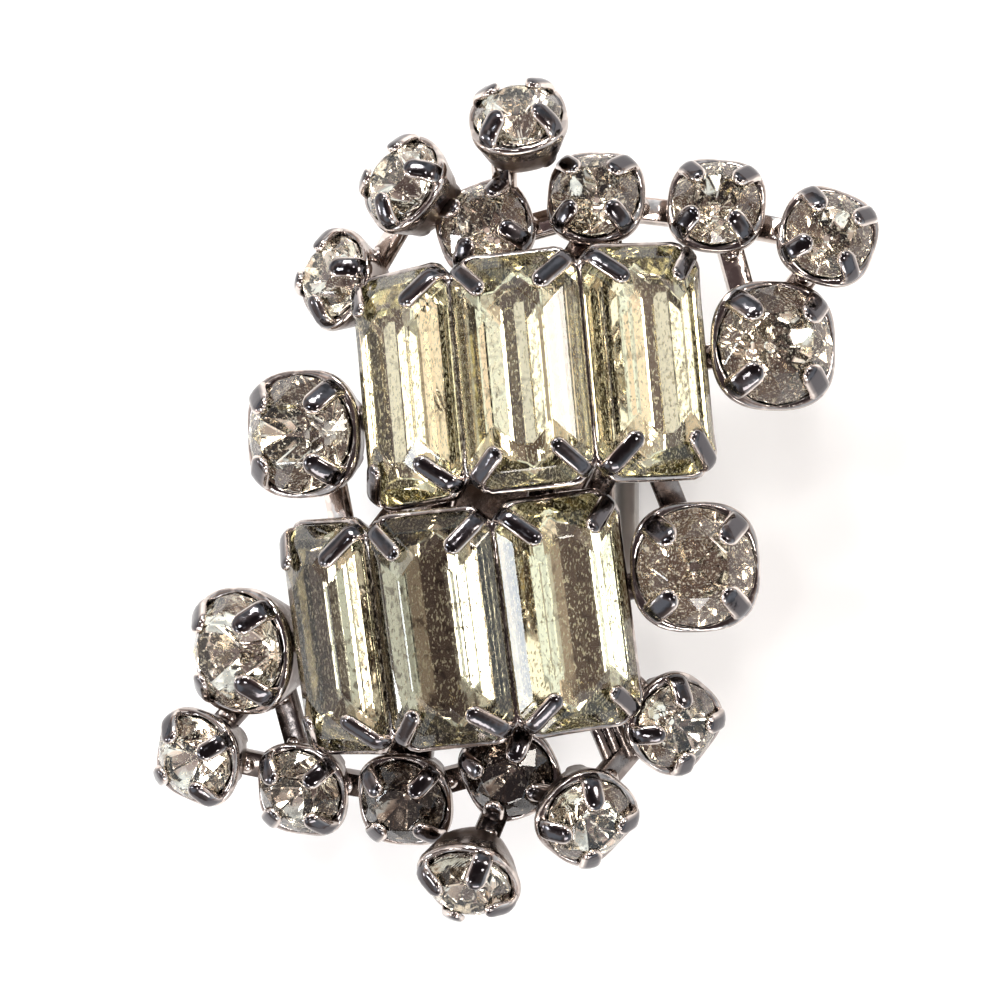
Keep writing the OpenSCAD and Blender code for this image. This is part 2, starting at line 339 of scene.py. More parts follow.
def set_soot_and_highlight(bm, soot_and_shade, highlight):
    """Give a part its tarnish, which on the lower half's bars is painted shade, and its painted highlight"""
    set_values(bm, "soot_and_shade", soot_and_shade)
    set_values(bm, "highlight", highlight)


def add_part(bm, rings, soot_and_highlight):
    """Add a part skinned over rings of points, with one tarnish and one painted highlight all over"""
    part = bmesh.new()
    loft(part, rings)
    set_soot_and_highlight(part, *soot_and_highlight)
    add_copy(bm, part, Matrix.Identity(4))
    part.free()


def put_piece(name, mesh, node):
    """Put a piece of the earring into the scene, and hide the CAD node that it replaces"""
    piece = bpy.data.objects.new(name, mesh)
    bpy.context.scene.collection.objects.link(piece)
    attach(piece, BODY)
    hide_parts(node)


def new_piece(name, bm, finishes, node, smooth=None):
    """Make a piece from a bmesh in millimetres. smooth is the angle from which its edges stay sharp."""
    bm.transform(Matrix.Scale(MM, 4))
    bmesh.ops.recalc_face_normals(bm, faces=bm.faces)
    mesh = bpy.data.meshes.new(name)
    bm.to_mesh(mesh)
    bm.free()
    for finish in finishes:
        mesh.materials.append(finish)
    if smooth is not None:
        mesh.shade_smooth()
        mesh.set_sharp_from_angle(angle=math.radians(smooth))
    put_piece(name, mesh, node)


# Node helpers

class Wire:
    """A node's socket that sums and products can be written with"""

    def __init__(self, tree, socket):
        self.tree = tree
        self.socket = socket

    def maths(self, operation, first, second, clamp=False):
        node = self.tree.nodes.new("ShaderNodeMath")
        node.operation = operation
        node.use_clamp = clamp
        for socket, value in zip(node.inputs, (first, second)):
            if isinstance(value, Wire):
                self.tree.links.new(value.socket, socket)
            else:
                socket.default_value = value
        return Wire(self.tree, node.outputs[0])

    def __add__(self, other):
        return self.maths("ADD", self, other)

    def __radd__(self, other):
        return self.maths("ADD", other, self)

    def __sub__(self, other):
        return self.maths("SUBTRACT", self, other)

    def __rsub__(self, other):
        return self.maths("SUBTRACT", other, self)

    def __mul__(self, other):
        return self.maths("MULTIPLY", self, other)

    def __rmul__(self, other):
        return self.maths("MULTIPLY", other, self)

    def clamped(self):
        return self.maths("ADD", self, 0.0, clamp=True)

    def between(self, low, high):
        """0 below low and 1 above high"""
        return ((self - low) * (1 / (high - low))).clamped()


class Tree:
    """A node tree, whose nodes come from node()"""

    def __init__(self, tree):
        self.tree = tree

    def node(self, kind, settings=None, inputs=None, output=0):
        """Add a node with its settings and inputs, and return one of its outputs"""
        node = self.tree.nodes.new(kind)
        for name, value in (settings or {}).items():
            setattr(node, name, value)
        for name, value in (inputs or {}).items():
            if isinstance(value, Wire):
                self.tree.links.new(value.socket, node.inputs[name])
            else:
                node.inputs[name].default_value = value
        return Wire(self.tree, node.outputs[output])

    def mix(self, share, first, second):
        """A colour between two colours"""
        settings = {"data_type": "RGBA", "blend_type": "MIX", "clamp_factor": True}
        return self.node("ShaderNodeMix", settings, {0: share, 6: rgba(first), 7: rgba(second)}, output=2)


class Finish(Tree):
    """A material with one Principled shader"""

    def __init__(self, name, **constants):
        self.material = bpy.data.materials.new(name)
        self.material.use_nodes = True
        super().__init__(self.material.node_tree)
        self.shader = self.tree.nodes["Principled BSDF"]
        for socket, value in constants.items():
            self.shader.inputs[socket.replace("_", " ")].default_value = value

    def noise(self, scale, detail=2.0, rough=0.6, stretch=None):
        """Noise of a size in turns to the millimetre, which can be stretched along each axis of the piece"""
        place = self.node("ShaderNodeTexCoord", output="Object")
        if stretch:
            place = self.node("ShaderNodeVectorMath", {"operation": "MULTIPLY"}, {0: place, 1: stretch})
        inputs = {"Vector": place, "Scale": scale / MM, "Detail": detail, "Roughness": rough}
        return self.node("ShaderNodeTexNoise", {"noise_dimensions": "3D"}, inputs)

    def value(self, name):
        """A number that the mesh holds at each point"""
        return self.node("ShaderNodeAttribute", {"attribute_name": name}, output="Fac")

    def bump(self, height, strength, distance):
        """A normal from a height, in millimetres"""
        inputs = {"Height": height, "Strength": strength, "Distance": distance * MM}
        return self.node("ShaderNodeBump", None, inputs)

    def put(self, **wires):
        """Link wires to the shader"""
        for socket, wire in wires.items():
            self.tree.links.new(wire.socket, self.shader.inputs[socket.replace("_", " ")])
        return self.material


def rgba(colour):
    """A colour as a node takes it"""
    return colour if isinstance(colour, Wire) else (*colour, 1.0)


# Finishes. TURNS are a noise's turns to the millimetre, and LIMITS the values between which it sets in.

# Glass, and the depth in millimetres at which the baguettes' glass has its full tint
GLASS_IOR, GLASS_ROUGHNESS, TINT_DEPTH = 1.54, 0.008, 9.0
# Foil that has gone brown, also used as painted shade on the lower half's stones, how much of it the blots
# hold, and how wide they are against the specks
AGED_AND_SHADED_FOIL = (0.10, 0.075, 0.06)
BLOT_SHARE, BLOT_WIDTH, BLOT_LIMITS = 0.35, 5.0, (0.56, 0.7)
# How softly the foil's specks set in, and how much rougher and less like metal they are
SPECK_FADE, SPECK_ROUGH, SPECK_DULL = 0.06, 0.5, 0.85
# The plating's patches and pits, the spots that break up its painted highlight, how much the pits add to the
# bump, and how much of the painted highlight shows off the spots at least and how much more on them at most
PATCH_TURNS, PIT_TURNS, PIT_LIMITS, PIT_BUMP = 0.55, 3.2, (0.5, 0.75), 0.3
HIGHLIGHT_SPOT_TURNS, HIGHLIGHT_SPOT_LIMITS, HIGHLIGHT_LEAST, HIGHLIGHT_MORE = 1.3, (0.52, 0.6), 0.85, 0.6
# Tarnish, with painted shade on the lower half's bars: what the mesh and the patches add to it, the least
# that shows, the step to all of it and how it covers
SOOT_DARKENING, PATCH_DARKENING, DARKENING_LEAST, DARKENING_STEP, DARKENING_COVER = 1.1, 0.9, 0.72, 0.55, 0.85
# Roughness of the plating, and how much the tarnish and the pits add
PLATING_ROUGH, DARKENING_ROUGH, PIT_ROUGH = 0.08, 0.27, 0.12
# The clip's brushing and its stains, how they cover, its roughness and how much both add
BRUSH_TURNS, BRUSH_STRETCH = 4.0, (1.0, 0.06, 1.0)
STAIN_COLOUR, STAIN_TURNS, STAIN_LIMITS, STAIN_COVER = (0.36, 0.31, 0.26), 0.3, (0.5, 0.75), 0.5
STEEL_ROUGH, BRUSH_ROUGH, STAIN_ROUGH = 0.2, 0.12, 0.2


def glass_finish(name, skin, body=None):
    """Moulded glass. skin colours light at each face that it passes, and body over the tint's full depth."""
    finish = Finish(
        name, IOR=GLASS_IOR, Transmission_Weight=1.0, Roughness=GLASS_ROUGHNESS, Base_Color=rgba(skin))
    if body is not None:
        inputs = {"Color": rgba(body), "Density": 1 / (TINT_DEPTH * MM)}
        inside = finish.node("ShaderNodeVolumeAbsorption", None, inputs)
        finish.tree.links.new(inside.socket, finish.tree.nodes["Material Output"].inputs["Volume"])
    return finish.material


def foil_finish(name, bright, sand, speck_turns, few, rough, waves, stretch=None):
    """Old foil behind a stone: a mirror with pale, matt specks and dark blots. few sets how few specks there
    are, waves how uneven it is and stretch how far apart the specks lie along each axis. The mesh holds how
    far the foil has browned, and on the lower half's stones painted shade that darkens it."""
    finish = Finish(name)
    specks = finish.noise(speck_turns, rough=0.7, stretch=stretch).between(few, few + SPECK_FADE)
    blots = finish.noise(speck_turns / BLOT_WIDTH, detail=1.0)
    aged_and_shaded = (blots.between(*BLOT_LIMITS) * BLOT_SHARE + finish.value("age_and_shade")).clamped()
    return finish.put(
        Base_Color=finish.mix(aged_and_shaded, finish.mix(specks, bright, sand), AGED_AND_SHADED_FOIL),
        Roughness=rough + specks * SPECK_ROUGH,
        Metallic=1.0 - specks * SPECK_DULL,
        Normal=finish.bump(blots, strength=waves, distance=0.08),
    )


def plating_finish(name, bright, painted_dark, tarnish):
    """Rhodium-coloured plating, painted near-black as a dark reflection and bright where the mesh holds a
    painted highlight. The mesh also holds the tarnish, which on the lower half's bars is painted shade.
    """
    finish = Finish(name, Metallic=1.0)
    patches = finish.noise(PATCH_TURNS)
    pits = finish.noise(PIT_TURNS, detail=1.0)
    darkening = (finish.value("soot_and_shade") * SOOT_DARKENING + patches * PATCH_DARKENING - DARKENING_LEAST).between(0.0, DARKENING_STEP)
    highlight_spots = finish.noise(HIGHLIGHT_SPOT_TURNS, detail=1.0).between(*HIGHLIGHT_SPOT_LIMITS)
    highlight = finish.value("highlight") * (HIGHLIGHT_LEAST + highlight_spots * HIGHLIGHT_MORE)
    return finish.put(
        Base_Color=finish.mix(darkening * DARKENING_COVER, finish.mix(highlight.clamped(), painted_dark, bright), tarnish),
        Roughness=PLATING_ROUGH + darkening * DARKENING_ROUGH + pits.between(*PIT_LIMITS) * PIT_ROUGH,
        Normal=finish.bump(patches + pits * PIT_BUMP, strength=0.4, distance=0.08),
    )


def steel_finish(name, colour):
    """Plated steel, brushed along the clip and lightly worn"""
    finish = Finish(name, Metallic=1.0)
    brush = finish.noise(BRUSH_TURNS, stretch=BRUSH_STRETCH)
    stains = finish.noise(STAIN_TURNS, detail=4.0).between(*STAIN_LIMITS)
    return finish.put(
        Base_Color=finish.mix(stains * STAIN_COVER, colour, STAIN_COLOUR),
        Roughness=STEEL_ROUGH + brush * BRUSH_ROUGH + stains * STAIN_ROUGH,
        Normal=finish.bump(brush, strength=0.2, distance=0.02),
    )


# Cut stones

# Steps of a baguette: [share of the depth or height, inset of the sides, inset of the ends], from the back up
BACK_STEPS = ((1.0, 2.62, 1.3), (0.95, 2.1, 1.05), (0.8, 1.4, 0.75), (0.5, 0.66, 0.4))
CROWN_STEPS = ((0.62, 0.58, 0.62), (1.0, 1.57, 1.7))
# Most that the corner cut takes of half the width of a step
CUT_LIMIT = 0.8
# Sides of a round stone's table and of the flat at its point, and shares of its radius: that flat, and how
# far out the corners between two kite facets lie, behind and in front
TABLE_SIDES = 8
POINT_FLAT = 0.1
BACK_STAR, CROWN_STAR = 0.36, 0.76
# Height of the foil's edge, as a share of the girdle's thickness
FOIL_LINE = 0.45
# Painted shade that darkens the foil of the lower half's stones, by half and seat, and how far the other
# stones' foil has browned at most
PAINTED_FOIL_SHADE = {
    ("lower", "bridge"): 0.72, ("lower", "crest"): 0.8, ("lower", "wing"): 0.35, ("lower", "peak"): 0.3,
    ("lower", "middle"): 0.56, ("lower", "right"): 0.54,
}
LEAST_AGED = 0.15


def chamfered(half_w, half_l, cut, z):
    """A rectangle with cut corners, anticlockwise"""
    return [Vector((x, y, z)) for x, y in (
        (half_w, half_l - cut), (half_w - cut, half_l), (cut - half_w, half_l), (-half_w, half_l - cut),
        (-half_w, cut - half_l), (cut - half_w, -half_l), (half_w - cut, -half_l), (half_w, cut - half_l))]


def baguette_mesh(sizes):
    """A step-cut stone with cut corners"""
    half_w, half_l, lip = sizes.baguette_w / 2, sizes.baguette_l / 2, sizes.girdle / 2
    levels = [(-sizes.baguette_back * share, across, along) for share, across, along in BACK_STEPS]
    levels += [(-lip, 0.0, 0.0), (lip, 0.0, 0.0)]
    levels += [(sizes.baguette_crown * share, across, along) for share, across, along in CROWN_STEPS]
    rings = []
    for z, across, along in levels:
        w = half_w - across
        rings.append(chamfered(w, half_l - along, min(sizes.corner_cut, w * CUT_LIMIT), z))
    bm = bmesh.new()
    loft(bm, rings)
    return bm


def round_mesh(d, sizes):
    """A round stone: an eight-sided table, three-cornered and kite facets, and a pointed back"""
    r, lip = d / 2, sizes.girdle / 2
    step = math.pi / TABLE_SIDES
    rim_count = TABLE_SIDES * 2

    def side(rim_z, tip_r, tip_z, star_r):
        """Corners of one side, with the points between its kites in their plane"""
        slope = (tip_z - rim_z) / (r - tip_r)
        star_z = rim_z + slope * (r - star_r * math.cos(step))
        return circle(tip_r, tip_z, TABLE_SIDES, step), circle(star_r, star_z, TABLE_SIDES)

    bm = bmesh.new()
    rims = [[bm.verts.new(p) for p in circle(r, z, rim_count)] for z in (-lip, lip)]
    for i in range(rim_count):
        j = (i + 1) % rim_count
        bm.faces.new((rims[0][i], rims[0][j], rims[1][j], rims[1][i]))
    back = side(-lip, r * POINT_FLAT, -d * sizes.point_share, r * BACK_STAR)
    front = side(lip, r * sizes.table_share, d * sizes.crown_share, r * CROWN_STAR)
    for rim, corners in zip(rims, (back, front)):
        tips, stars = ([bm.verts.new(p) for p in points] for points in corners)
        bm.faces.new(tips)
        for i in range(TABLE_SIDES):
            j = (i + 1) % TABLE_SIDES
            bm.faces.new((tips[i], tips[j], stars[j]))
            bm.faces.new((stars[i], rim[2 * i + 1], stars[j], tips[i]))
            bm.faces.new((stars[i], rim[2 * i], rim[2 * i + 1]))
            bm.faces.new((rim[2 * i + 1], rim[2 * j], stars[j]))
    return bm


def finish_stone(bm, sizes):
    """Round a stone's facet edges a little, and foil its back"""
    bmesh.ops.recalc_face_normals(bm, faces=bm.faces)
    bmesh.ops.bevel(bm, geom=list(bm.edges), offset=sizes.edge, offset_type="OFFSET", segments=1,
                    profile=0.5, affect="EDGES", clamp_overlap=True)
    for face in bm.faces:
        face.material_index = 1 if face.calc_center_median().z < sizes.girdle * FOIL_LINE else 0
    return bm


def make_stones(names, source, glass, foil):
    """Make one stone for each seat, all from one bmesh"""
    finish_stone(source, bpy.context.scene.earring_stones)
    rng = random.Random(len(names))
    for half in OTHER_HALF:
        for name in names:
            bm = source.copy()
            bm.transform(seats()[half, name][1])
            # Painted shade on the listed stones of the lower half, and random browning of the foil on the
            # others
            set_values(bm, "age_and_shade", PAINTED_FOIL_SHADE.get((half, name), rng.uniform(0.0, LEAST_AGED)))
            node = node_of(half, name)
            new_piece(f"stone_{node}", bm, (glass, foil), node)
    source.free()


class EARRING_OT_baguettes(bpy.types.Operator):
    """Make the six baguette stones"""

    bl_idname = "earring.baguettes"
    bl_label = "Baguette stones"

    def execute(self, context):
        sizes = context.scene.earring_stones
        glass = glass_finish("baguette_glass", skin=(1.0, 1.0, 1.0), body=sizes.baguette_glass)
        foil = foil_finish("baguette_foil", sizes.baguette_foil, sand=(0.60, 0.55, 0.42), speck_turns=10.0,
                           few=0.565, rough=0.05, waves=0.03, stretch=(1.0, 0.4, 1.0))
        make_stones(SEAT_NAMES["baguette"], baguette_mesh(sizes), glass, foil)
        return {"FINISHED"}


class EARRING_OT_round_stones(bpy.types.Operator):
    """Make the eighteen round stones"""

    bl_idname = "earring.round_stones"
    bl_label = "Round stones"

    def execute(self, context):
        sizes = context.scene.earring_stones
        glass = glass_finish("round_glass", skin=sizes.round_glass)
        foil = foil_finish("round_foil", sizes.round_foil, sand=(0.88, 0.82, 0.69), speck_turns=5.5,
                           few=0.595, rough=0.05, waves=0.14)
        for kind, d in (("small", sizes.small_d), ("large", sizes.large_d)):
            make_stones(SEAT_NAMES[kind], round_mesh(d, sizes), glass, foil)
        return {"FINISHED"}


# Cups

CUP_POINTS = 64
LONG_SIDE_POINTS = 11
SHORT_SIDE_POINTS = 5
# Where a baguette cup's points lie on a cut corner, and how far from it the first one of a side is, in shares
CORNER_STOPS = (0.12, 0.5, 0.88)
SIDE_START = 0.25
# How soon a baguette cup's rim reaches its full dip
DIP_RISE = 2.2
# How square a round stone's cup is outside and inside: 2 is a circle
OUTER_SQUARE, INNER_SQUARE = 2.7, 2.0
# A cup's wall from the foot up the outside and down the inside: [share of the way in to the foot, share of
# the depth, step inwards and upwards in millimetres, share of the rim's dip, painted highlight]
CUP_OUTSIDE = (
    (1.0, 1.0, 0.35, 0.0, 0, 0.4), (1.0, 1.0, 0.1, 0.0, 0, 0.4), (1.0, 1.0, 0.0, 0.1, 0, 0.5),
    (0.62, 0.72, 0.0, 0.0, 0, 0.3), (0.22, 0.36, 0.0, 0.0, 0.15, 0.35), (0.0, 0.0, 0.02, -0.4, 0.6, 0.5),
    (0.0, 0.0, 0.0, -0.2, 1, 0.6), (0.0, 0.0, 0.02, -0.08, 1, 0.75), (0.0, 0.0, 0.07, -0.01, 1, 0.5),
)
CUP_INSIDE = (
    (0.0, 0.0, 0.0, 0.03, 1, 0.3), (0.0, 0.0, 0.045, 0.0, 1, 0.2), (0.0, 0.0, 0.0, -0.3, 0.6, 0.2),
    (0.45, 0.5, 0.0, 0.0, 0, 0.2),
)
# Share of the cup's floor that is metal, and its painted highlight
FLOOR_SHARE, FLOOR_HIGHLIGHT = 0.9, 0.2
# Soot at the rim, and how much more there is at the foot
RIM_SOOT, FOOT_SOOT = 0.2, 0.9


def stone_shape(kind):
    """Half width, half length, crown height and back depth of a kind of stone"""
    sizes = bpy.context.scene.earring_stones
    if kind == "baguette":
        return sizes.baguette_w / 2, sizes.baguette_l / 2, sizes.baguette_crown, sizes.baguette_back
    d = sizes.large_d if kind == "large" else sizes.small_d
    return d / 2, d / 2, d * sizes.crown_share, d * sizes.back_share


def foot_inset(kind, metal):
    """How much narrower the foot of a cup is than its rim, on each side"""
    return stone_shape(kind)[0] * (1 - metal.foot_share)


def cup_outline(kind, grow, square):
    """Points round a cup, each with its share of the way from a prong (0) to the middle of a side (1).
    square is 2 for a round outline, and more for one with corners at the prongs."""
    half_w, half_l, _, _ = stone_shape(kind)
    points = []
    if kind != "baguette":
        for i in range(CUP_POINTS):
            a = 2 * math.pi * i / CUP_POINTS
            c, s = math.cos(a), math.sin(a)
            r = (half_w + grow) / (abs(c) ** square + abs(s) ** square) ** (1 / square)
            points.append((r * c, r * s, (1 + math.cos(4 * a)) / 2))
        return points
    corners = chamfered(half_w + grow, half_l + grow, bpy.context.scene.earring_stones.corner_cut, 0)
    for i, corner in enumerate(corners):
        after = corners[(i + 1) % len(corners)]
        if i % 2 == 0:
            points += [(*corner.lerp(after, t).xy, 0.0) for t in CORNER_STOPS]
            continue
        count = SHORT_SIDE_POINTS if i % 4 == 1 else LONG_SIDE_POINTS
        for k in range(count):
            t = (k + SIDE_START) / (count - 1 + SIDE_START * 2)
            points.append((*corner.lerp(after, t).xy, min(1.0, DIP_RISE * math.sin(math.pi * t))))
    return points


def cup_mesh(kind, metal):
    """A thin-walled cup with a rim that dips between the prongs"""
    depth = stone_shape(kind)[3] + metal.cup_floor
    inset = foot_inset(kind, metal)
    gap = metal.stone_gap
    sides = ((OUTER_SQUARE, gap + metal.cup_wall, CUP_OUTSIDE), (INNER_SQUARE, gap, CUP_INSIDE))
    levels = [(square, start - inset * inwards - step, rise - depth * down, dip, highlight)
              for square, start, wall in sides for inwards, down, step, rise, dip, highlight in wall]
    levels.append((INNER_SQUARE, gap - inset, metal.cup_floor * FLOOR_SHARE - depth, 0, FLOOR_HIGHLIGHT))
    rings = []
    highlights = []
    for square, grow, z, dip, highlight in levels:
        outline = cup_outline(kind, grow, square)
        rings.append([Vector((x, y, z - dip * metal.rim_dip * side)) for x, y, side in outline])
        highlights.append([highlight] * len(outline))
    bm = bmesh.new()
    loft_with_highlight(bm, rings, highlights)
    set_values(bm, "soot_and_shade", lambda co: min(1.0, RIM_SOOT + FOOT_SOOT * max(0.0, -co.z / depth)))
    return bm


def setting_plating(metal):
    """The setting's finish, made once"""
    return bpy.data.materials.get("setting_plating") or plating_finish(
        "setting_plating", metal.plating, metal.painted_dark, metal.tarnish)


class EARRING_OT_cups(bpy.types.Operator):
    """Make a cup under every stone"""

    bl_idname = "earring.cups"
    bl_label = "Cups"

    def execute(self, context):
        metal = context.scene.earring_metal
        sources = {kind: cup_mesh(kind, metal) for kind in SEAT_NAMES}
        bm = bmesh.new()
        for kind, seat in seats().values():
            add_copy(bm, sources[kind], seat)
        for source in sources.values():
            source.free()
        new_piece("cups", bm, (setting_plating(metal),), "setting", CUP_SMOOTH)
        return {"FINISHED"}


# Prongs

# Half a prong's section: [share of the half width, share of the thickness, painted highlight, 0 for the
# painted dark reflection on top]
PRONG_SECTION = (
    (0.0, 1.08, 0.0), (0.5, 1.0, 0.0), (0.74, 0.9, 0.25), (0.9, 0.72, 1.0), (1.0, 0.42, 0.9),
    (0.95, 0.1, 0.4), (0.78, 0.0, 0.2), (0.0, 0.0, 0.2),
)
# How deep a prong starts, as a share of the cup's depth and inset
PRONG_FOOT = 0.9
# Where a prong bends: how far out of the stone's edge and above it, and how long the bend is, in millimetres
KNEE_OUT, KNEE_UP, BEND = 0.06, 0.1, 0.42
# Most of the prong's upper part that the bend takes
BEND_SHARE = 0.4
BEND_STOPS = (0.25, 0.5, 0.75)
# Rings of the rounded end, in shares of its length, and how wide and thick the last ones are
END_STOPS = (0.3, 0.56, 0.78, 0.93, 1.0)
END_WIDEST = 0.985
END_THICKNESS = 0.45
# The least painted highlight at a prong's very end
END_HIGHLIGHT = 0.8
# Soot at a prong's foot, and how much of it is gone at the end
PRONG_SOOT, PRONG_CLEAN = 0.75, 1.3
# How far prongs lean by hand, in radians, and differ in width
PRONG_LEAN, PRONG_VARY = 0.05, 0.06
# Shares of such a lean about each axis
LEAN_SHARES = (0.5, 0.7, 1.6)


def prong_size(kind, metal):
    """Width of a kind's prongs, and how far they lie over the stone"""
    if kind == "baguette":
        return metal.long_prong_w, metal.baguette_over
    grown = metal.large_prongs if kind == "large" else 1.0
    return metal.prong_w * grown, metal.prong_over * grown


def prong_path(kind, metal):
    """Inner line of a prong, in distance out from the stone's edge and height, with its bend rounded"""
    half_w, _, crown, back = stone_shape(kind)
    sizes = bpy.context.scene.earring_stones
    table_inset = CROWN_STEPS[-1][1] if kind == "baguette" else half_w * (1 - sizes.table_share)
    width, over = prong_size(kind, metal)
    clear = metal.stone_gap
    foot = Vector((clear - foot_inset(kind, metal) * PRONG_FOOT, -(back + metal.cup_floor) * PRONG_FOOT))
    knee = Vector((clear + KNEE_OUT, sizes.girdle / 2 + KNEE_UP))
    tip = Vector((-over, crown * min(1.0, over / table_inset) + clear))
    into, away = (knee - foot).normalized(), (tip - knee).normalized()
    bend = min(BEND, (tip - knee).length * BEND_SHARE)
    start, end = knee - into * bend, knee + away * bend
    path = [foot, foot.lerp(start, 0.5), start]
    path += [start.lerp(knee, t).lerp(knee.lerp(end, t), t) for t in BEND_STOPS]
    path.append(end)
    round_at = max(0.0, 1 - width / 2 / (tip - end).length)
    path += [end.lerp(tip, t) for t in (round_at / 2, round_at)]
    path += [end.lerp(tip, round_at + (1 - round_at) * t) for t in END_STOPS]
    return path


def prong_mesh(kind, metal):
    """A bent tab with a rounded, domed end. X is away from the stone, Z up."""
    path = prong_path(kind, metal)
    straight = len(path) - len(END_STOPS) - 1
    radius = (path[-1] - path[straight]).length
    rings = []
    highlights = []
    for i, point in enumerate(path):
        before, after = path[max(i - 1, 0)], path[min(i + 1, len(path) - 1)]
        way = (after - before).normalized()
        out = Vector((way.y, -way.x))
        width, thick = prong_size(kind, metal)[0] / 2, metal.prong_t
        if i > straight:
            share = min(END_WIDEST, (point - path[straight]).length / radius)
            round_off = math.sqrt(1 - share ** 2)
            width *= round_off
            thick *= END_THICKNESS + (1 - END_THICKNESS) * round_off
        half = [(u * width, v * thick, highlight) for u, v, highlight in PRONG_SECTION]
        section = half + [(-u, v, highlight) for u, v, highlight in half[-2:0:-1]]
        rings.append([Vector((point.x + out.x * v, u, point.y + out.y * v)) for u, v, _ in section])
        least = END_HIGHLIGHT if i == len(path) - 1 else 0.0
        highlights.append([max(highlight, least) for _, _, highlight in section])
    bm = bmesh.new()
    loft_with_highlight(bm, rings, highlights)
    low, high = path[0].y, path[-1].y
    set_values(bm, "soot_and_shade", lambda co: max(0.0, PRONG_SOOT - PRONG_CLEAN * (co.z - low) / (high - low)))
    return bm


def prong_points(kind, names):
    """Where each prong of a kind stands: [place, turn], from the stone's edge outwards"""
    half_w, half_l, _, _ = stone_shape(kind)
    cut = bpy.context.scene.earring_stones.corner_cut
    found = []
    for seat in (seats()[half, name][1] for half in OTHER_HALF for name in names):
        for x, y in ((-1, -1), (-1, 1), (1, -1), (1, 1)):
            turn = Matrix.Rotation(math.atan2(y, x), 4, "Z")
            at = turn @ Vector((half_w, 0, 0))
            if kind == "baguette":
                at = Vector((x * (half_w - cut / 2), y * (half_l - cut / 2), 0))
            found.append((seat @ at, (seat @ turn).to_quaternion()))
    return found


# Inputs of the tree that stands parts on points
PART_INPUTS = {
    "Geometry": "NodeSocketGeometry", "Part": "NodeSocketObject", "Lean jitter": "NodeSocketFloat",
    "Size jitter": "NodeSocketFloat", "Seed": "NodeSocketInt", "Metal": "NodeSocketMaterial",
}


class PartTree(Tree):
    """A Geometry Nodes tree that stands a part on every point, turned by the point's own turn and a little
    by hand"""

    def __init__(self):
        super().__init__(bpy.data.node_groups.new("parts_on_points", "GeometryNodeTree"))
        for name, kind in PART_INPUTS.items():
            self.tree.interface.new_socket(name, in_out="INPUT", socket_type=kind)
        self.tree.interface.new_socket("Geometry", in_out="OUTPUT", socket_type="NodeSocketGeometry")
        given = self.tree.nodes.new("NodeGroupInput")
        points, part, lean, vary, seed, metal = (Wire(self.tree, given.outputs[name]) for name in PART_INPUTS)
        source = self.node("GeometryNodeObjectInfo", {"transform_space": "ORIGINAL"},
                           {"Object": part}, "Geometry")
        turn = self.node("GeometryNodeInputNamedAttribute", {"data_type": "QUATERNION"},
                         {"Name": "turn"}, "Attribute")
        angles = []
        for offset, share in enumerate(LEAN_SHARES, 1):
            most = lean * share
            own_seed = self.node("FunctionNodeIntegerMath", {"operation": "ADD"}, {0: seed, 1: offset})
            angles.append(self.random(most * -1.0, most, own_seed))
        angles = self.node("ShaderNodeCombineXYZ", None, dict(enumerate(angles)))
        nudge = self.node("FunctionNodeEulerToRotation", None, {0: angles})
        turn = self.node("FunctionNodeRotateRotation", {"rotation_space": "LOCAL"}, {0: turn, 1: nudge})
        size = self.random(1.0 - vary, vary + 1.0, seed)
        scale = self.node("ShaderNodeCombineXYZ", None, {0: 1.0, 1: size, 2: 1.0})
        stood = self.node("GeometryNodeInstanceOnPoints", None,
                          {"Points": points, "Instance": source, "Rotation": turn, "Scale": scale})
        real = self.node("GeometryNodeRealizeInstances", None, {0: stood})
        made = self.node("GeometryNodeSetMaterial", None, {"Geometry": real, "Material": metal})
        self.tree.links.new(made.socket, self.tree.nodes.new("NodeGroupOutput").inputs[0])

    def random(self, low, high, seed):
        """A number for each point"""
        inputs = {2: low, 3: high, "Seed": seed}
        return self.node("FunctionNodeRandomValue", {"data_type": "FLOAT"}, inputs, output=1)

    def identifier(self, name):
        """The identifier of an input, by which a modifier sets it"""
        return next(s.identifier for s in self.tree.interface.items_tree
                    if s.in_out == "INPUT" and s.name == name)


def stand_parts(name, source, places, lean, vary, seed, finish):
    """Make a piece of the setting from copies of a part. places holds the point and the turn of each."""
    scene = bpy.context.scene
    bmesh.ops.recalc_face_normals(source, faces=source.faces)
    source.transform(Matrix.Scale(MM, 4))
    mesh = bpy.data.meshes.new("part")
    source.to_mesh(mesh)
    source.free()
    mesh.shade_smooth()
    part = bpy.data.objects.new("part", mesh)
    points = bpy.data.meshes.new("points")
    points.from_pydata([tuple(place * MM) for place, _ in places], [], [])
    turns = points.attributes.new("turn", "QUATERNION", "POINT")
    for value, (_, turn) in zip(turns.data, places):
        value.value = turn
    stand = bpy.data.objects.new("stand", points)
    for made in (part, stand):
        scene.collection.objects.link(made)
    tree = PartTree()
    modifier = stand.modifiers.new("parts", "NODES")
    modifier.node_group = tree.tree
    for socket, value in (("Part", part), ("Lean jitter", lean), ("Size jitter", vary), ("Seed", seed),
                          ("Metal", finish)):
        modifier[tree.identifier(socket)] = value
    depsgraph = bpy.context.evaluated_depsgraph_get()
    made = bpy.data.meshes.new_from_object(stand.evaluated_get(depsgraph), depsgraph=depsgraph)
    if not made.polygons:
        raise RuntimeError(f"nothing was made for {name}")
    stand.modifiers.remove(modifier)
    for spare in (stand, part):
        bpy.data.objects.remove(spare)
    put_piece(name, made, "setting")


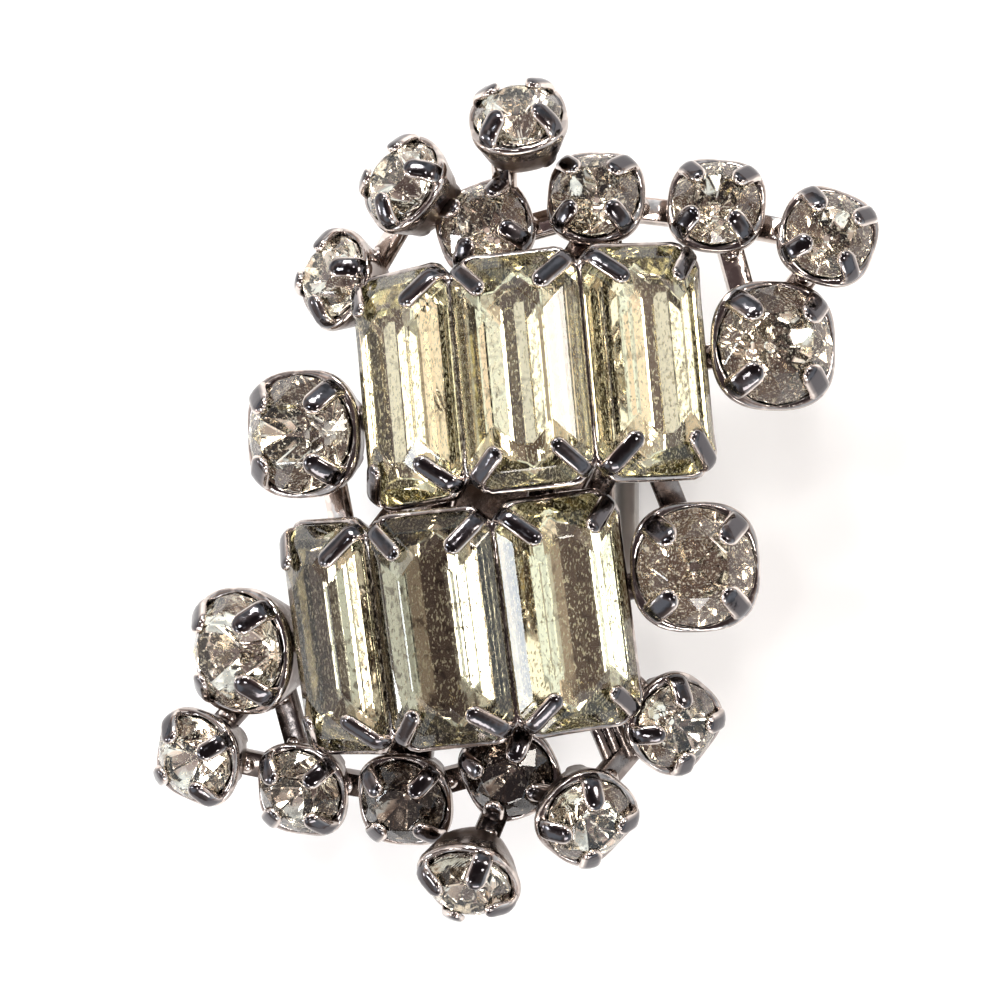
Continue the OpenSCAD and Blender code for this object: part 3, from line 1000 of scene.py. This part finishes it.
class EARRING_OT_prongs(bpy.types.Operator):
    """Make the prongs of every cup"""

    bl_idname = "earring.prongs"
    bl_label = "Prongs"

    def execute(self, context):
        metal = context.scene.earring_metal
        for kind, names in SEAT_NAMES.items():
            stand_parts(f"prongs_{kind}", prong_mesh(kind, metal), prong_points(kind, names),
                        PRONG_LEAN, PRONG_VARY, len(names), setting_plating(metal))
        return {"FINISHED"}


# Bars, solder, posts and back plate

# Tarnish and painted highlight, as [tarnish, painted highlight], of each half's bars, the solder, posts,
# plate and clip; the extra tarnish and lower highlight on the lower half's bars are painted shade
BAR_SOOT_AND_HIGHLIGHT = {"upper": (0.1, 0.95), "lower": (0.42, 0.22)}
BEAD_SOOT_AND_HIGHLIGHT = (0.1, 0.8)
POST_SOOT_AND_HIGHLIGHT = (0.8, 0.4)
PLATE_SOOT_AND_HIGHLIGHT = (0.5, 0.9)
CLIP_SOOT_AND_HIGHLIGHT = (0.1, 0.9)
# A bar's rounded edges: radius as a share of half its thickness, and shares of the radius for the middle of
# the edge and for the length of the narrowed end, and how narrow that end is
BAR_ROUND, BAR_BEVEL, BAR_END, BAR_NARROW = 0.45, 0.3, 0.4, 0.8
# How far in to its foot a cup is where a bar leaves it, and the smallest slant that is divided by
BAR_DEPTH, LEAST_SLANT = 0.8, 0.01
# A drop of solder: radius and distance along the bar as shares of its width, lift as a share of its
# thickness, height as a share of the radius, and how far drops lean by hand, in radians, and differ in width
BEAD_R, BEAD_ALONG, BEAD_UP, BEAD_FLAT = 0.42, 0.4, 0.3, 0.7
BEAD_LEAN, BEAD_VARY, BEAD_SEED = 0.3, 0.3, 5
# Width of a round of the strap as a share of a bar's width
REED_SHARE = 0.4
# A post from the back plate up: [share of the way, width against the post's]
POST_LEVELS = ((0, 1.5), (0.08, 1.12), (0.2, 1.0), (0.8, 1.0), (0.92, 1.1), (1.0, 1.4))
POST_POINTS = 16
# How far a post goes into its cup, in millimetres, and where it stands in plate widths and lengths
POST_BITE = 0.12
POST_X, POST_Y = 0.3, 0.24
# Points of a plate's round end, its edge radius in millimetres, and how soon the edge turns
END_POINTS = 16
PLATE_EDGE, EDGE_TURN = 0.2, 0.3
# A dished face inside its rim: [inset in millimetres, share of the dish's depth]
DISH_STEPS = ((0.55, 0.0), (0.8, 0.5), (1.2, 1.0))


def rounded_bar(bm, start, end, up, width, thick, soot_and_highlight):
    """A flat bar with rounded edges between two points"""
    along = (end - start).normalized()
    side = up.cross(along).normalized()
    top = along.cross(side)
    w, t = width / 2, thick / 2
    r = min(w, t) * BAR_ROUND
    section = [(w, t - r), (w - r * BAR_BEVEL, t - r * BAR_BEVEL), (w - r, t)]
    section += [(-a, b) for a, b in section[::-1]]
    section += [(-a, -b) for a, b in section]
    taper = along * (r * BAR_END)
    ends = ((start, BAR_NARROW), (start + taper, 1.0), (end - taper, 1.0), (end, BAR_NARROW))
    add_part(bm, [[at + side * (a * s) + top * (b * s) for a, b in section] for at, s in ends], soot_and_highlight)


def cup_side(half, name, goal, metal):
    """Where a bar that goes to a goal leaves the wall of a cup, near its foot, with the cup's normal"""
    kind, seat = seats()[half, name]
    half_w, half_l, _, back = stone_shape(kind)
    height = metal.bar_t / 2 - metal.cup_floor / 2 - back
    way = (seat.inverted() @ goal).xy.normalized()
    inset = foot_inset(kind, metal) * BAR_DEPTH
    reach = half_w - inset
    if kind == "baguette":
        reach = min(reach / max(abs(way.x), LEAST_SLANT), (half_l - inset) / max(abs(way.y), LEAST_SLANT))
    return seat @ Vector((way.x * reach, way.y * reach, height)), seat.to_3x3() @ Vector((0, 0, 1))


def bar_ends(metal):
    """The half of every bar, and both its ends with their cups' normals"""
    pairs = [(half, a, half, b) for half in OTHER_HALF for a, b in BARS]
    pairs += [(half, a, other, b) for half, other in OTHER_HALF.items() for a, b in CROSS_BARS]
    for half_a, a, half_b, b in pairs:
        yield (half_a, cup_side(half_a, a, seats()[half_b, b][1].translation, metal),
               cup_side(half_b, b, seats()[half_a, a][1].translation, metal))


def bead_mesh(metal):
    """A flat drop of solder"""
    bm = bmesh.new()
    bmesh.ops.create_icosphere(bm, subdivisions=2, radius=metal.bar_w * BEAD_R)
    bmesh.ops.scale(bm, vec=(1, 1, BEAD_FLAT), verts=bm.verts)
    set_soot_and_highlight(bm, *BEAD_SOOT_AND_HIGHLIGHT)
    return bm


class EARRING_OT_solder(bpy.types.Operator):
    """Make the solder at both ends of the bars"""

    bl_idname = "earring.solder"
    bl_label = "Solder"

    def execute(self, context):
        metal = context.scene.earring_metal
        drops = []
        for _, (start, up_start), (end, up_end) in bar_ends(metal):
            along = (end - start).normalized() * metal.bar_w * BEAD_ALONG
            for point, up in ((start + along, up_start), (end - along, up_end)):
                drops.append((point + up * metal.bar_t * BEAD_UP, up.to_track_quat("Z", "Y")))
        stand_parts("solder", bead_mesh(metal), drops,
                    BEAD_LEAN, BEAD_VARY, BEAD_SEED, setting_plating(metal))
        return {"FINISHED"}


def reeded_strap(bm, metal):
    """The strap of three rounds between the lower right baguette and the bar beyond it, dark with the lower
    half's painted shade
    """
    (fan, up), (shoulder, _) = (cup_side("lower", a, seats()["lower", b][1].translation, metal)
                                for a, b in (("fan", "shoulder"), ("shoulder", "fan")))
    end = (fan + shoulder) / 2
    start, _ = cup_side("lower", "left", end, metal)
    width = metal.bar_w * REED_SHARE
    side = (end - start).cross(up).normalized() * width
    for i in (-1, 0, 1):
        rounded_bar(bm, start + side * i, end + side * i, up, width, metal.bar_t, BAR_SOOT_AND_HIGHLIGHT["lower"])


def post(bm, base, seat, metal):
    """A round post from the back plate to the foot of a baguette's cup, wider at both ends"""
    top = POST_BITE - stone_shape("baguette")[3] - metal.cup_floor
    rings = [[(base + point).lerp(seat @ (point + Vector((0, 0, top))), share)
              for point in circle(metal.post_d / 2 * swell, 0, POST_POINTS)] for share, swell in POST_LEVELS]
    add_part(bm, rings, POST_SOOT_AND_HIGHLIGHT)


def long_outline(w, l, z, inset):
    """A rectangle with round ends, along Y"""
    r = w / 2 - inset
    points = []
    for end, first in ((1, 0.0), (-1, math.pi)):
        for i in range(END_POINTS + 1):
            a = first + math.pi * i / END_POINTS
            points.append(Vector((r * math.cos(a), r * math.sin(a) + end * (l - w) / 2, z)))
    return points


def long_plate(bm, w, l, low, high, edge, soot_and_highlight, dish=0.0):
    """A flat plate with round ends and rounded edges. dish lowers its upper face inside the rim."""
    turn = edge * EDGE_TURN
    levels = [(low, edge), (low + turn, turn), (low + edge, 0.0)]
    levels += [(high - edge, 0.0), (high - turn, turn), (high, edge)]
    if dish:
        levels += [(high - dish * share, edge + inset) for inset, share in DISH_STEPS]
    add_part(bm, [long_outline(w, l, z, inset) for z, inset in levels], soot_and_highlight)


class EARRING_OT_frame(bpy.types.Operator):
    """Make the bars between the cups, the posts and the back plate"""

    bl_idname = "earring.frame"
    bl_label = "Bars, posts and back plate"

    def execute(self, context):
        metal = context.scene.earring_metal
        bm = bmesh.new()
        for half, (start, up_start), (end, up_end) in bar_ends(metal):
            up = (up_start + up_end).normalized()
            rounded_bar(bm, start, end, up, metal.bar_w, metal.bar_t, BAR_SOOT_AND_HIGHLIGHT[half])
        reeded_strap(bm, metal)
        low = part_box("ear_clip")[1].z / MM + metal.seat_gap
        for half, sign in (("upper", 1), ("lower", -1)):
            for i, name in enumerate(SEAT_NAMES["baguette"], -1):
                x, y = metal.plate_w * POST_X * i, metal.plate_l * POST_Y
                post(bm, Vector((sign * x, sign * y, low + metal.plate_t / 2)), seats()[half, name][1], metal)
        long_plate(bm, metal.plate_w, metal.plate_l, low, low + metal.plate_t, PLATE_EDGE, PLATE_SOOT_AND_HIGHLIGHT)
        new_piece("frame", bm, (setting_plating(metal),), "setting", FLAT_SMOOTH)
        return {"FINISHED"}


# Ear clip

# Edge radius of the paddle, and how far the bracket goes into both plates, in millimetres
PADDLE_EDGE = 0.25
BRACKET_BITE = 0.1


class EARRING_OT_ear_clip(bpy.types.Operator):
    """Make the plain clip behind the setting"""

    bl_idname = "earring.ear_clip"
    bl_label = "Ear clip"

    def execute(self, context):
        metal = context.scene.earring_metal
        low, high = (corner.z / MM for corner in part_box("ear_clip"))
        bm = bmesh.new()
        long_plate(bm, metal.paddle_w, metal.paddle_l, low, low + metal.paddle_t, PADDLE_EDGE, CLIP_SOOT_AND_HIGHLIGHT,
                   metal.paddle_dish)
        long_plate(bm, metal.base_w, metal.base_l, high - metal.base_t, high, PLATE_EDGE, CLIP_SOOT_AND_HIGHLIGHT)
        foot, head = (Vector((0, -metal.bracket_drop, z)) for z in (low + BRACKET_BITE, high - BRACKET_BITE))
        rounded_bar(bm, foot, head, Vector((0, 1, 0)), metal.bracket_w, metal.bracket_t, CLIP_SOOT_AND_HIGHLIGHT)
        steel = steel_finish("clip_steel", metal.steel)
        new_piece("clip", bm, (steel,), "ear_clip", FLAT_SMOOTH)
        return {"FINISHED"}


# Stage

# Soft lights: [name, degrees round from +X, degrees up, distance, width, height, brightness, colour]
LIGHTS = (
    ("key", 100, 37, 0.55, 0.16, 0.12, 36.0, (1.0, 0.985, 0.96)),
    ("right", 25, 38, 0.55, 0.12, 0.12, 18.0, (1.0, 0.95, 0.88)),
    ("window", 169, 46, 0.5, 0.10, 0.10, 2.2, (0.98, 1.0, 0.97)),
    ("overhead", 119, 76, 0.5, 0.08, 0.07, 0.9, (0.93, 0.96, 1.0)),
    ("low_left", 192, 13, 0.5, 0.06, 0.06, 24.0, (0.97, 0.985, 1.0)),
    ("left", 205, 40, 0.55, 0.14, 0.10, 14.0, (0.90, 0.95, 1.0)),
    ("front", 275, 28, 0.6, 0.26, 0.12, 10.0, (1.0, 0.96, 0.93)),
    ("spark", 140, 60, 0.45, 0.05, 0.05, 34.0, (0.86, 0.94, 1.0)),
    ("spark_right", 330, 56, 0.5, 0.06, 0.06, 34.0, (1.0, 0.97, 0.93)),
    ("spark_front", 250, 54, 0.5, 0.05, 0.05, 34.0, (1.0, 0.98, 0.96)),
    ("spark_back", 62, 58, 0.5, 0.05, 0.05, 30.0, (1.0, 0.96, 0.95)),
)
# The room's two wall colours, its ceiling's colour, and where between level (0) and straight up (1) the walls
# give way to it
WALL_WARM, WALL_COOL = (0.86, 0.72, 0.66), (0.80, 0.88, 0.95)
CEILING = (0.62, 0.46, 0.48)
WALL_TOP, CEILING_EDGE = 0.62, 0.84
# Brightness of the ceiling, how much more the walls have, and how much more again where they gleam
CEILING_LIGHT, WALL_LIGHT, GLEAM_LIGHT = 0.19, 0.42, 0.9
# Scale of the noise for the gleams and for the wall colours, and the values between which they set in
GLEAM_SCALE, GLEAM_LIMITS = 2.3, (0.42, 0.62)
HUE_SCALE, HUE_LIMITS = 1.7, (0.42, 0.58)
# The floor's radius, in metres, its gloss, roughness and glow, and its fibres: turns to the millimetre, how
# dark they are, how much of them shows and how much rougher they are
FLOOR_R, FLOOR_SIDES = 3.0, 96
FLOOR_GLOSS, FLOOR_ROUGH, FLOOR_GLOW, GLOW_COLOUR = 0.2, 0.6, 0.16, (1.0, 0.99, 0.98)
FIBRE_SCALE, FIBRE_DARK, FIBRE_SHARE, FIBRE_ROUGH = 0.8, 0.96, 0.3, 0.1
# How far above the earring's middle the camera aims, and the nearest and furthest that it sees, in metres
AIM_UP = 0.002
CLIP_NEAR, CLIP_FAR = 0.01, 10


def towards(azimuth, elevation):
    """The direction of a light, seen from the earring"""
    a, e = math.radians(azimuth), math.radians(elevation)
    return Vector((math.cos(a) * math.cos(e), math.sin(a) * math.cos(e), math.sin(e)))


def light_room(room):
    """A soft room round the earring: uneven grey walls up to a dark ceiling"""
    way = room.node("ShaderNodeTexCoord", output="Generated")
    height = room.node("ShaderNodeSeparateXYZ", None, {0: way}, output="Z")
    gleams, hues = (
        room.node("ShaderNodeTexNoise", None, {"Vector": way, "Scale": scale, "Detail": 0.0}).between(*limits)
        for scale, limits in ((GLEAM_SCALE, GLEAM_LIMITS), (HUE_SCALE, HUE_LIMITS)))
    up = height.between(WALL_TOP, CEILING_EDGE)
    colour = room.mix(up, room.mix(hues, WALL_WARM, WALL_COOL), CEILING)
    strength = (1 - up) * (WALL_LIGHT + gleams * GLEAM_LIGHT) + CEILING_LIGHT
    sky = room.tree.nodes["Background"]
    room.tree.links.new(colour.socket, sky.inputs["Color"])
    room.tree.links.new(strength.socket, sky.inputs["Strength"])


def make_floor(stage):
    """A round sheet of pale paper"""
    bm = bmesh.new()
    bmesh.ops.create_circle(bm, cap_ends=True, segments=FLOOR_SIDES, radius=FLOOR_R)
    mesh = bpy.data.meshes.new("floor")
    bm.to_mesh(mesh)
    bm.free()
    floor = bpy.data.objects.new("floor", mesh)
    bpy.context.scene.collection.objects.link(floor)
    finish = Finish("paper", Specular_IOR_Level=FLOOR_GLOSS, Emission_Color=rgba(GLOW_COLOUR),
                    Emission_Strength=FLOOR_GLOW)
    fibre = finish.noise(FIBRE_SCALE)
    dark = [c * FIBRE_DARK for c in stage.paper]
    mesh.materials.append(finish.put(
        Base_Color=finish.mix(fibre * FIBRE_SHARE, stage.paper, dark),
        Roughness=FLOOR_ROUGH + fibre * FIBRE_ROUGH,
    ))


def make_lights(stage, middle):
    """The soft lights and the room"""
    scene = bpy.context.scene
    for name, azimuth, elevation, distance, width, height, brightness, colour in LIGHTS:
        lamp = bpy.data.lights.new(name, "AREA")
        lamp.shape = "RECTANGLE"
        lamp.size, lamp.size_y = width, height
        lamp.energy = brightness * stage.light * math.pi * width * height
        lamp.color = colour
        light = bpy.data.objects.new(name, lamp)
        way = towards(azimuth, elevation)
        light.location = middle + way * distance
        light.rotation_euler = way.to_track_quat("Z", "Y").to_euler()
        light.visible_camera = False
        scene.collection.objects.link(light)
    world = bpy.data.worlds.new("room")
    scene.world = world
    world.use_nodes = True
    light_room(Tree(world.node_tree))


def make_camera(stage, middle):
    """The camera, leaning from straight above to the viewer's right"""
    scene = bpy.context.scene
    camera = bpy.data.objects.new("camera", bpy.data.cameras.new("camera"))
    scene.collection.objects.link(camera)
    camera.data.lens = stage.lens
    camera.data.clip_start, camera.data.clip_end = CLIP_NEAR, CLIP_FAR
    way = Vector((math.sin(stage.lean), 0, math.cos(stage.lean)))
    right = Vector((math.cos(stage.lean), 0, -math.sin(stage.lean)))
    camera.location = middle + Vector((0, 0, AIM_UP)) + way * stage.distance
    camera.rotation_euler = Matrix((right, way.cross(right), way)).transposed().to_euler()
    scene.camera = camera


class EARRING_OT_stage(bpy.types.Operator):
    """Make the floor, the lights, the world and the camera"""

    bl_idname = "earring.stage"
    bl_label = "Stage"

    def execute(self, context):
        stage = context.scene.earring_stage
        low, high = (Vector(corner) for corner in CAD_BOX)
        middle = (low + high) / 2
        make_floor(stage)
        make_lights(stage, middle)
        make_camera(stage, middle)
        context.scene.view_settings.view_transform = "Standard"
        return {"FINISHED"}


class EARRING_PT_panel(bpy.types.Panel):
    """Sizes and steps of the earring"""

    bl_idname = "EARRING_PT_panel"
    bl_label = "Clip on earring"
    bl_space_type = "VIEW_3D"
    bl_region_type = "UI"
    bl_category = "Earring"

    def draw(self, context):
        for group in GROUPS:
            values = getattr(context.scene, group)
            box = self.layout.box()
            for name in values.bl_rna.properties.keys():
                if name not in ("rna_type", "name"):
                    box.prop(values, name)
        for operator in STEPS:
            self.layout.operator(operator.bl_idname)


STEPS = (
    EARRING_OT_baguettes, EARRING_OT_round_stones, EARRING_OT_cups, EARRING_OT_prongs, EARRING_OT_frame,
    EARRING_OT_solder, EARRING_OT_ear_clip, EARRING_OT_stage,
)
GROUPS = {"earring_stones": StoneSizes, "earring_metal": MetalSizes, "earring_stage": StageSizes}


def register():
    for made in (*GROUPS.values(), *STEPS, EARRING_PT_panel):
        bpy.utils.register_class(made)
    for name, group in GROUPS.items():
        setattr(bpy.types.Scene, name, bpy.props.PointerProperty(type=group))


def unregister():
    for name in GROUPS:
        delattr(bpy.types.Scene, name)
    for made in (EARRING_PT_panel, *reversed(STEPS), *GROUPS.values()):
        bpy.utils.unregister_class(made)


def main():
    """Make the earring and its stage"""
    register()
    bpy.ops.earring.baguettes()
    bpy.ops.earring.round_stones()
    bpy.ops.earring.cups()
    bpy.ops.earring.prongs()
    bpy.ops.earring.frame()
    bpy.ops.earring.solder()
    bpy.ops.earring.ear_clip()
    bpy.ops.earring.stage()


if __name__ == "__main__":
    main()
